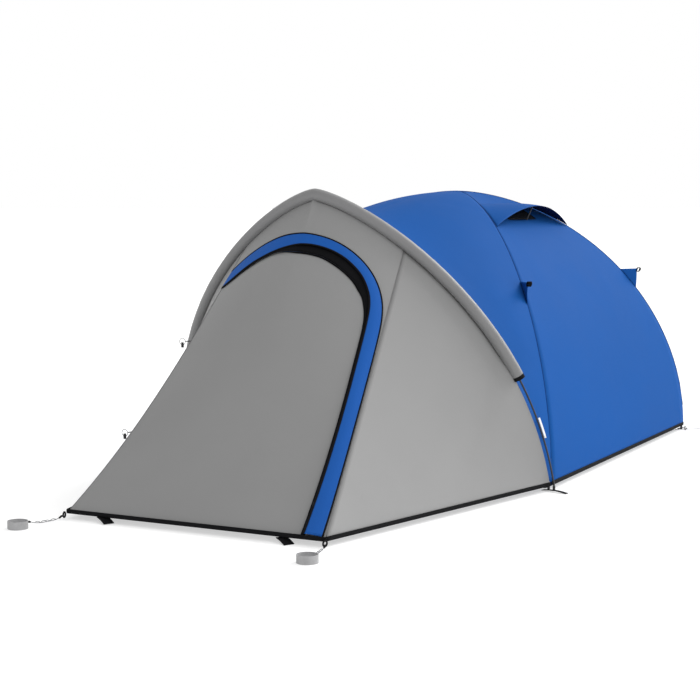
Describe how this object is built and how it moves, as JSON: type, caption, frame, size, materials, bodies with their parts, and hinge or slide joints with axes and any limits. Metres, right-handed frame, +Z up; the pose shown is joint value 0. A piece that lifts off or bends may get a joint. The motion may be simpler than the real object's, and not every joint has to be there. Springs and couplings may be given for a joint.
{
  "type": "dome tent with pole-held porch",
  "caption": "Free-standing dome shelter on two crossing poles, with a third pole holding out a zipped porch in a contrasting cloth.",
  "frame": {"origin": "on the ground under the crossing of the two cabin poles, at the underside of the groundsheet", "axes": "+Z up, +Y towards the rear of the cabin, -Y out of the porch door, +X to the right seen from the front"},
  "size_m": [2.3848, 4.5719, 1.548],
  "materials": {
    "fly_fabric_blue": "coated ripstop polyester, satin",
    "porch_fabric_grey": "coated polyester, satin",
    "webbing_black": "woven webbing",
    "zip_tape_black": "knitted tape with nylon coil",
    "mesh_black": "no-see-um mesh",
    "inner_fabric": "breathable polyester",
    "floor_fabric": "coated polyethylene weave",
    "pole_fibreglass": "wrapped fibreglass rod",
    "ferrule_steel": "plated steel tube",
    "tip_plastic": "moulded nylon",
    "slider_metal": "lacquered zinc",
    "tag_white": "blank woven tag",
    "ring_grey": "matte moulded band",
    "cord_grey": "thin twisted cord",
    "peg_steel": "plated steel wire"
  },
  "bodies": {
    "shelter": {"fly_side_right": "fly_fabric_blue", "fly_side_left": "fly_fabric_blue", "fly_rear": "fly_fabric_blue", "fly_front_right": "fly_fabric_blue", "fly_front_left": "fly_fabric_blue", "fly_crown_patch": "fly_fabric_blue", "vent_mesh_right": "mesh_black", "vent_mesh_left": "mesh_black", "porch_front": "porch_fabric_grey", "frame_zip_tape": "zip_tape_black", "door_rain_flap": "fly_fabric_blue", "porch_side_right": "porch_fabric_grey", "porch_side_left": "porch_fabric_grey", "porch_hem_tape": "webbing_black", "cabin_hem_tape": "webbing_black", "cabin_pole_upper": "pole_fibreglass", "cabin_pole_upper_ferrules": "ferrule_steel", "cabin_pole_lower": "pole_fibreglass", "cabin_pole_lower_ferrules": "ferrule_steel", "cabin_pole_tips": "tip_plastic", "porch_pole": "pole_fibreglass", "porch_pole_ferrules": "ferrule_steel", "porch_pole_tips": "tip_plastic", "porch_pole_sleeve": "porch_fabric_grey", "sleeve_end_trims": "webbing_black", "crown_hub": "tip_plastic", "inner_wall_right": "inner_fabric", "inner_wall_left": "inner_fabric", "inner_wall_rear": "inner_fabric", "inner_wall_front": "inner_fabric", "inner_door_zip": "zip_tape_black", "inner_roof_mesh": "mesh_black", "groundsheet": "floor_fabric", "inner_hooks": "tip_plastic", "vent_hood_right": "fly_fabric_blue", "vent_hood_left": "fly_fabric_blue", "guy_out_tabs": "fly_fabric_blue", "guy_out_loops": "webbing_black", "corner_straps": "webbing_black", "front_peg_tabs": "webbing_black", "corner_loops": "webbing_black", "blank_tag": "tag_white", "door_tie_loops": "webbing_black", "rear_peg_loops": "webbing_black"},
    "porch_door": {"front_door": "porch_fabric_grey", "door_zip_tape": "zip_tape_black", "door_hem_tape": "webbing_black"},
    "door_slider": {"zip_slider": "slider_metal"},
    "cabin_door": {"inner_door": "inner_fabric"},
    "right_vent_prop": {"vent_prop_right": "tip_plastic"},
    "left_vent_prop": {"vent_prop_left": "tip_plastic"},
    "upper_toggle": {"door_toggle_upper": "tip_plastic"},
    "lower_toggle": {"door_toggle_lower": "tip_plastic"},
    "right_anchor": {"anchor_ring_right": "ring_grey", "anchor_cord_right": "cord_grey"},
    "left_anchor": {"anchor_ring_left": "ring_grey", "anchor_cord_left": "cord_grey"},
    "right_peg": {"rear_peg_right": "peg_steel"},
    "left_peg": {"rear_peg_left": "peg_steel"}
  },
  "joints": [
    {"name": "porch_door_hinge", "type": "hinge", "parent": "shelter", "child": "porch_door", "pos_m": [-0.687, -2.971, 0.03], "axis": [-0.1336, -0.7212, -0.6797], "range_deg": [0, 75]},
    {"name": "door_slider_run", "type": "slide", "parent": "shelter", "child": "door_slider", "axis": [-0.1036, 0.7307, 0.6748], "range_m": [0, 0.28]},
    {"name": "cabin_door_fold", "type": "hinge", "parent": "shelter", "child": "cabin_door", "pos_m": [0, -1.1896, 0.15], "axis": [1, 0, 0], "range_deg": [0, 100]},
    {"name": "right_prop_fold", "type": "hinge", "parent": "shelter", "child": "right_vent_prop", "pos_m": [0.4565, 0, 1.3697], "axis": [0, 1, 0], "range_deg": [0, 70]},
    {"name": "left_prop_fold", "type": "hinge", "parent": "shelter", "child": "left_vent_prop", "pos_m": [-0.4565, 0, 1.3697], "axis": [0, -1, 0], "range_deg": [0, 70]},
    {"name": "upper_toggle_swing", "type": "hinge", "parent": "shelter", "child": "upper_toggle", "pos_m": [-0.57516, -2.14196, 0.75753], "axis": [1, 0, 0], "range_deg": [-35, 35]},
    {"name": "lower_toggle_swing", "type": "hinge", "parent": "shelter", "child": "lower_toggle", "pos_m": [-0.64422, -2.5566, 0.34005], "axis": [1, 0, 0], "range_deg": [-35, 35]},
    {"name": "right_anchor_lift", "type": "hinge", "parent": "shelter", "child": "right_anchor", "pos_m": [0.699, -2.99, 0.018], "axis": [-0.9798, -0.2, 0], "range_deg": [0, 40]},
    {"name": "left_anchor_lift", "type": "hinge", "parent": "shelter", "child": "left_anchor", "pos_m": [-0.699, -2.99, 0.018], "axis": [-0.9798, 0.2, 0], "range_deg": [0, 40]},
    {"name": "right_peg_pull", "type": "slide", "parent": "shelter", "child": "right_peg", "axis": [0.722, 0.6919, 0], "range_m": [0, 0.03]},
    {"name": "left_peg_pull", "type": "slide", "parent": "shelter", "child": "left_peg", "axis": [-0.722, 0.6919, 0], "range_m": [0, 0.03]}
  ]
}
